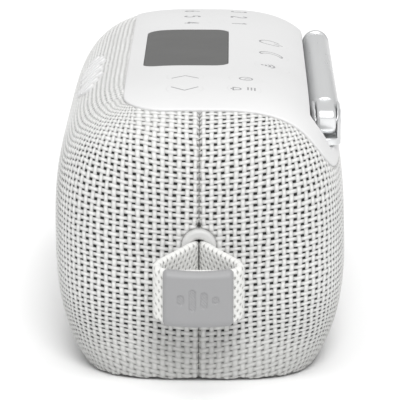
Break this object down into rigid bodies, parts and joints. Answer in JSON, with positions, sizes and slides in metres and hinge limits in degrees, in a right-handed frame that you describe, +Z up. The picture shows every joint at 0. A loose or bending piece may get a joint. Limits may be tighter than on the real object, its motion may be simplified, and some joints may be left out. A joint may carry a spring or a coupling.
{
  "type": "portable radio speaker",
  "caption": "Fabric-covered portable radio speaker with a wrap-over key panel, display window, folding telescopic aerial and a webbing carry loop.",
  "frame": {"origin": "middle of the rubber foot's underside, on the surface that the speaker stands on", "axes": "+X along the case towards the carry loop, -Y towards the front, +Z up"},
  "size_m": [0.1892, 0.0784, 0.0746],
  "materials": {
    "shell_plastic": "fine matt moulded texture",
    "grille_fabric": "open woven off-white yarn with dark gaps",
    "panel_plastic": "smooth satin",
    "grey_rubber": "matt moulded",
    "window_plastic": "smooth, lightly glossy",
    "dark_plastic": "matt",
    "circuit_board": "lacquered",
    "plain_steel": "plain",
    "magnet_metal": "plated, dull",
    "cone_plastic": "matt",
    "battery_wrap": "heat-shrink film",
    "antenna_silver": "satin bright plating",
    "webbing": "coarse woven tape"
  },
  "bodies": {
    "case": {"front_housing": "shell_plastic", "rear_housing": "shell_plastic", "base_plate": "shell_plastic", "grille_fabric_front": "grille_fabric", "grille_fabric_rear": "grille_fabric", "top_panel": "panel_plastic", "name_plate": "panel_plastic", "port_frame": "panel_plastic", "strap_bezel": "panel_plastic", "rubber_foot": "grey_rubber", "keypad_mat": "grey_rubber", "display_window": "window_plastic", "display_module": "dark_plastic", "radiator_frame": "dark_plastic", "battery_cradle": "dark_plastic", "key_board": "circuit_board", "main_board": "circuit_board", "driver_frame_left": "plain_steel", "driver_frame_right": "plain_steel", "usb_socket": "plain_steel", "strap_bracket": "plain_steel", "strap_anchor_pin": "plain_steel", "driver_magnet_left": "magnet_metal", "driver_magnet_right": "magnet_metal", "battery_pack": "battery_wrap", "strap_tail": "webbing", "base_screw_1": "plain_steel", "base_screw_2": "plain_steel", "base_screw_3": "plain_steel", "base_screw_4": "plain_steel"},
    "preset_key_1": {"preset_key_1": "panel_plastic"},
    "preset_key_2": {"preset_key_2": "panel_plastic"},
    "preset_key_3": {"preset_key_3": "panel_plastic"},
    "preset_key_4": {"preset_key_4": "panel_plastic"},
    "preset_key_5": {"preset_key_5": "panel_plastic"},
    "preset_key_6": {"preset_key_6": "panel_plastic"},
    "previous_key": {"previous_key": "panel_plastic"},
    "next_key": {"next_key": "panel_plastic"},
    "power_key": {"power_key": "panel_plastic"},
    "source_key": {"source_key": "panel_plastic"},
    "wireless_key": {"wireless_key": "panel_plastic"},
    "clock_key": {"clock_key": "panel_plastic"},
    "alarm_key": {"alarm_key": "panel_plastic"},
    "driver_cone_left": {"driver_cone_left": "cone_plastic"},
    "driver_cone_right": {"driver_cone_right": "cone_plastic"},
    "radiator_diaphragm": {"radiator_diaphragm": "cone_plastic"},
    "port_cover": {"port_cover": "grey_rubber"},
    "antenna_base": {"antenna_swivel": "antenna_silver", "antenna_clip": "plain_steel", "antenna_hinge_pin": "plain_steel"},
    "antenna_outer": {"antenna_outer_tube": "antenna_silver"},
    "antenna_middle": {"antenna_middle_tube": "antenna_silver"},
    "antenna_inner": {"antenna_inner_tube": "antenna_silver"},
    "antenna_tip": {"antenna_rod": "antenna_silver"},
    "carry_loop": {"strap_loop": "webbing", "strap_sleeve": "grey_rubber"}
  },
  "joints": [
    {"name": "preset_key_1_press", "type": "slide", "parent": "case", "child": "preset_key_1", "axis": [0, 0, -1], "range_m": [0, 0.0005], "stiffness_N_per_m": 800, "springref_m": -0.0003},
    {"name": "preset_key_2_press", "type": "slide", "parent": "case", "child": "preset_key_2", "axis": [0, 0, -1], "range_m": [0, 0.0005], "stiffness_N_per_m": 800, "springref_m": -0.0003},
    {"name": "preset_key_3_press", "type": "slide", "parent": "case", "child": "preset_key_3", "axis": [0, 0, -1], "range_m": [0, 0.0005], "stiffness_N_per_m": 800, "springref_m": -0.0003},
    {"name": "preset_key_4_press", "type": "slide", "parent": "case", "child": "preset_key_4", "axis": [0, 0, -1], "range_m": [0, 0.0005], "stiffness_N_per_m": 800, "springref_m": -0.0003},
    {"name": "preset_key_5_press", "type": "slide", "parent": "case", "child": "preset_key_5", "axis": [0, 0, -1], "range_m": [0, 0.0005], "stiffness_N_per_m": 800, "springref_m": -0.0003},
    {"name": "preset_key_6_press", "type": "slide", "parent": "case", "child": "preset_key_6", "axis": [0, 0, -1], "range_m": [0, 0.0005], "stiffness_N_per_m": 800, "springref_m": -0.0003},
    {"name": "previous_key_press", "type": "slide", "parent": "case", "child": "previous_key", "axis": [0, 0, -1], "range_m": [0, 0.0005], "stiffness_N_per_m": 800, "springref_m": -0.0003},
    {"name": "next_key_press", "type": "slide", "parent": "case", "child": "next_key", "axis": [0, 0, -1], "range_m": [0, 0.0005], "stiffness_N_per_m": 800, "springref_m": -0.0003},
    {"name": "power_key_press", "type": "slide", "parent": "case", "child": "power_key", "axis": [0, 0, -1], "range_m": [0, 0.0005], "stiffness_N_per_m": 800, "springref_m": -0.0003},
    {"name": "source_key_press", "type": "slide", "parent": "case", "child": "source_key", "axis": [0, 0, -1], "range_m": [0, 0.0005], "stiffness_N_per_m": 800, "springref_m": -0.0003},
    {"name": "wireless_key_press", "type": "slide", "parent": "case", "child": "wireless_key", "axis": [0, 0, -1], "range_m": [0, 0.0005], "stiffness_N_per_m": 800, "springref_m": -0.0003},
    {"name": "clock_key_press", "type": "slide", "parent": "case", "child": "clock_key", "axis": [0, 0, -1], "range_m": [0, 0.0005], "stiffness_N_per_m": 800, "springref_m": -0.0003},
    {"name": "alarm_key_press", "type": "slide", "parent": "case", "child": "alarm_key", "axis": [0, 0, -1], "range_m": [0, 0.0005], "stiffness_N_per_m": 800, "springref_m": -0.0003},
    {"name": "driver_cone_left_stroke", "type": "slide", "parent": "case", "child": "driver_cone_left", "axis": [0, -1, 0], "range_m": [-0.0008, 0.0008], "stiffness_N_per_m": 1500},
    {"name": "driver_cone_right_stroke", "type": "slide", "parent": "case", "child": "driver_cone_right", "axis": [0, -1, 0], "range_m": [-0.0008, 0.0008], "stiffness_N_per_m": 1500},
    {"name": "radiator_stroke", "type": "slide", "parent": "case", "child": "radiator_diaphragm", "axis": [0, 1, 0], "range_m": [-0.0012, 0.0012], "stiffness_N_per_m": 900},
    {"name": "port_cover_hinge", "type": "hinge", "parent": "case", "child": "port_cover", "pos_m": [-0.056, 0.0377, 0.0136], "axis": [-1, 0, 0], "range_deg": [0, 100]},
    {"name": "antenna_turn", "type": "hinge", "parent": "case", "child": "antenna_base", "pos_m": [0.059, 0.0334, 0.0643], "axis": [0, 0, -1], "range_deg": [0, 120]},
    {"name": "antenna_tilt", "type": "hinge", "parent": "antenna_base", "child": "antenna_outer", "pos_m": [0.059, 0.0334, 0.0643], "axis": [0, 1, 0], "range_deg": [0, 90]},
    {"name": "antenna_middle_slide", "type": "slide", "parent": "antenna_outer", "child": "antenna_middle", "axis": [-1, 0, 0], "range_m": [0, 0.08]},
    {"name": "antenna_inner_slide", "type": "slide", "parent": "antenna_middle", "child": "antenna_inner", "axis": [-1, 0, 0], "range_m": [0, 0.08]},
    {"name": "antenna_tip_slide", "type": "slide", "parent": "antenna_inner", "child": "antenna_tip", "axis": [-1, 0, 0], "range_m": [0, 0.08]},
    {"name": "carry_loop_swing", "type": "hinge", "parent": "case", "child": "carry_loop", "pos_m": [0.0876, 0, 0.0314], "axis": [0, 0, 1], "range_deg": [-25, 25]}
  ]
}
